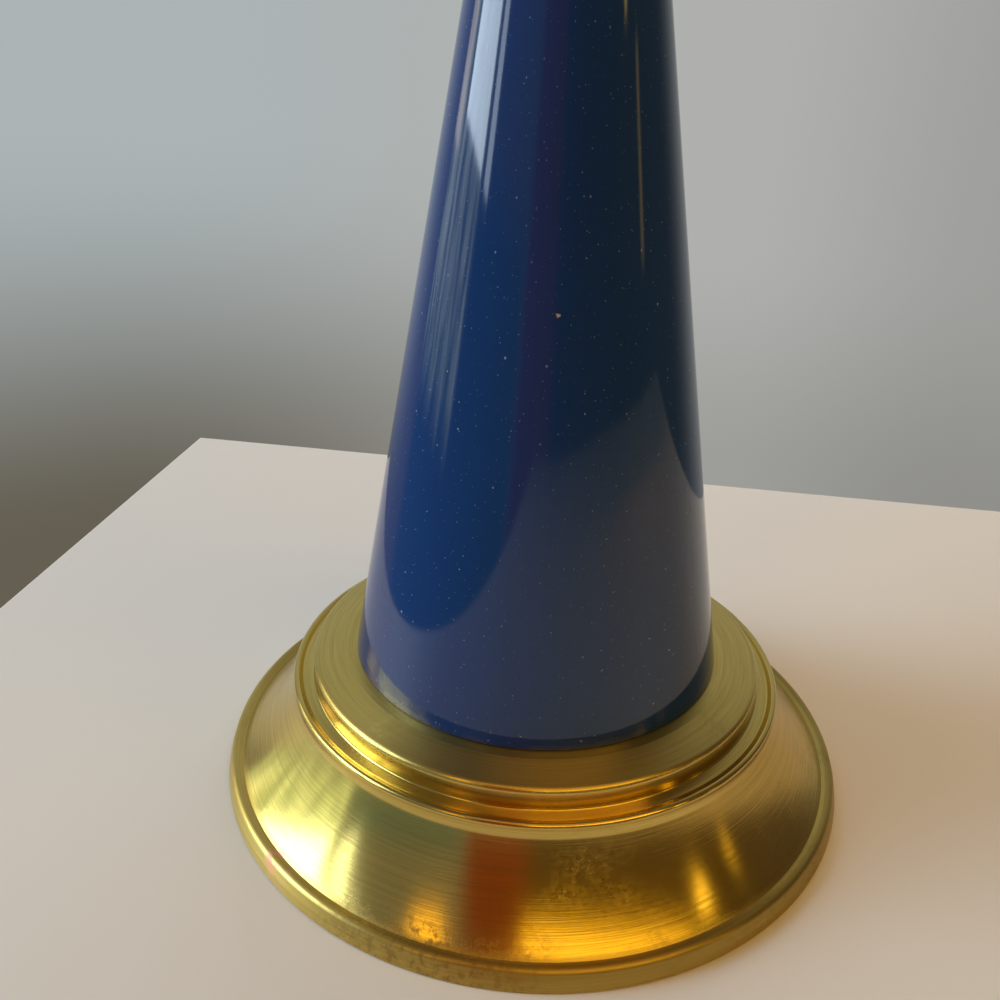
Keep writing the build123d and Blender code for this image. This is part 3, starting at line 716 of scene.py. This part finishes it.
def build_world():
    """The room by direction, in degrees: wall behind, window on the left, dim room with lamps in front."""
    world = bpy.data.worlds.new("surroundings")
    bpy.context.scene.world = world
    world.use_nodes = True
    world.node_tree.nodes.clear()
    t = Tree(world.node_tree)
    x, y, z = t.split(t.add("ShaderNodeTexCoord").outputs["Generated"])
    rise = t.math("DEGREES", t.math("ARCSINE", z))
    bearing = t.math("DEGREES", t.math("ARCTAN2", x, t.math("MULTIPLY", y, -1.0)))   # 0 in front, 90 right
    back = t.math("DEGREES", t.math("ARCTAN2", y, x))                                # 90 straight behind

    def inside(value, low, high, soft):
        """1 between two angles, with soft edges."""
        over_low = t.band(value, low - soft, low + soft)
        under_high = t.band(value, high + soft, high - soft)
        return t.math("MULTIPLY", over_low, under_high)

    def window(left, right, low, high, soft=3.0):
        """1 inside a range of bearing and of rise, with soft edges."""
        return t.math("MULTIPLY", inside(bearing, left, right, soft), inside(rise, low, high, soft))

    # Wall behind: grey, darker and browner low on the left.
    left_wall = t.mix(t.band(rise, -25.0, -2.5), WALL_LEFT_LOW, WALL_PALE)
    plain_wall = t.mix(t.band(rise, -22.0, -8.0), WALL_PLAIN_LOW, WALL_PLAIN)
    right_wall = t.mix(t.math("MULTIPLY", t.band(back, 80.0, 64.0), 0.28), plain_wall, WALL_DARK)
    wall = t.mix(t.band(back, 80.0, 118.0), right_wall, left_wall)
    wall = t.mix(t.band(rise, 30.0, 62.0), wall, CEILING_BACK)
    behind = t.band(t.math("ABSOLUTE", bearing), 108.0, 146.0)

    # Room in front, from left to right, with a part of it lit by the sky.
    room = t.mix(t.band(bearing, -26.0, -18.0), ROOM_GREY, ROOM_RED)
    room = t.mix(t.band(bearing, -3.0, 7.0), room, ROOM_BROWN)
    room = t.mix(t.band(bearing, 70.0, 110.0), room, ROOM_SIDE)
    room = t.mix(t.band(rise, 48.0, 70.0), room, CEILING_FRONT)
    room = t.mix(window(-112.0, -24.0, -28.0, 11.0, soft=4.0), room, SKYLIT)
    colour = t.mix(behind, room, wall)

    # Garden light through the lower panes, in upright streaks.
    streak = t.noise(t.combine(bearing, t.math("MULTIPLY", rise, 0.25), 0.0), 0.30, detail=4.0, roughness=0.7)
    garden = t.mix(t.band(streak, 0.38, 0.62), GARDEN_DARK, GARDEN_BRIGHT)
    colour = t.mix(window(-117.0, -73.0, -6.0, 24.0), colour, garden)
    for left, right, low, high, soft, lamp in ROOM_LAMPS:
        colour = t.mix(window(left, right, low, high, soft), colour, lamp)

    # Only reflections and light come from that room. The camera itself sees a plain wall on every side.
    backdrop = t.mix(behind, plain_wall, wall)
    colour = t.mix(t.add("ShaderNodeLightPath").outputs["Is Camera Ray"], colour, backdrop)
    colour = t.mix(t.band(rise, -28.0, -60.0), colour, BELOW)
    background = t.add("ShaderNodeBackground")
    t.feed(background.inputs["Color"], colour)
    out = t.add("ShaderNodeOutputWorld")
    t.tree.links.new(background.outputs[0], out.inputs["Surface"])


build_world()
bpy.context.scene.view_settings.view_transform = "Standard"
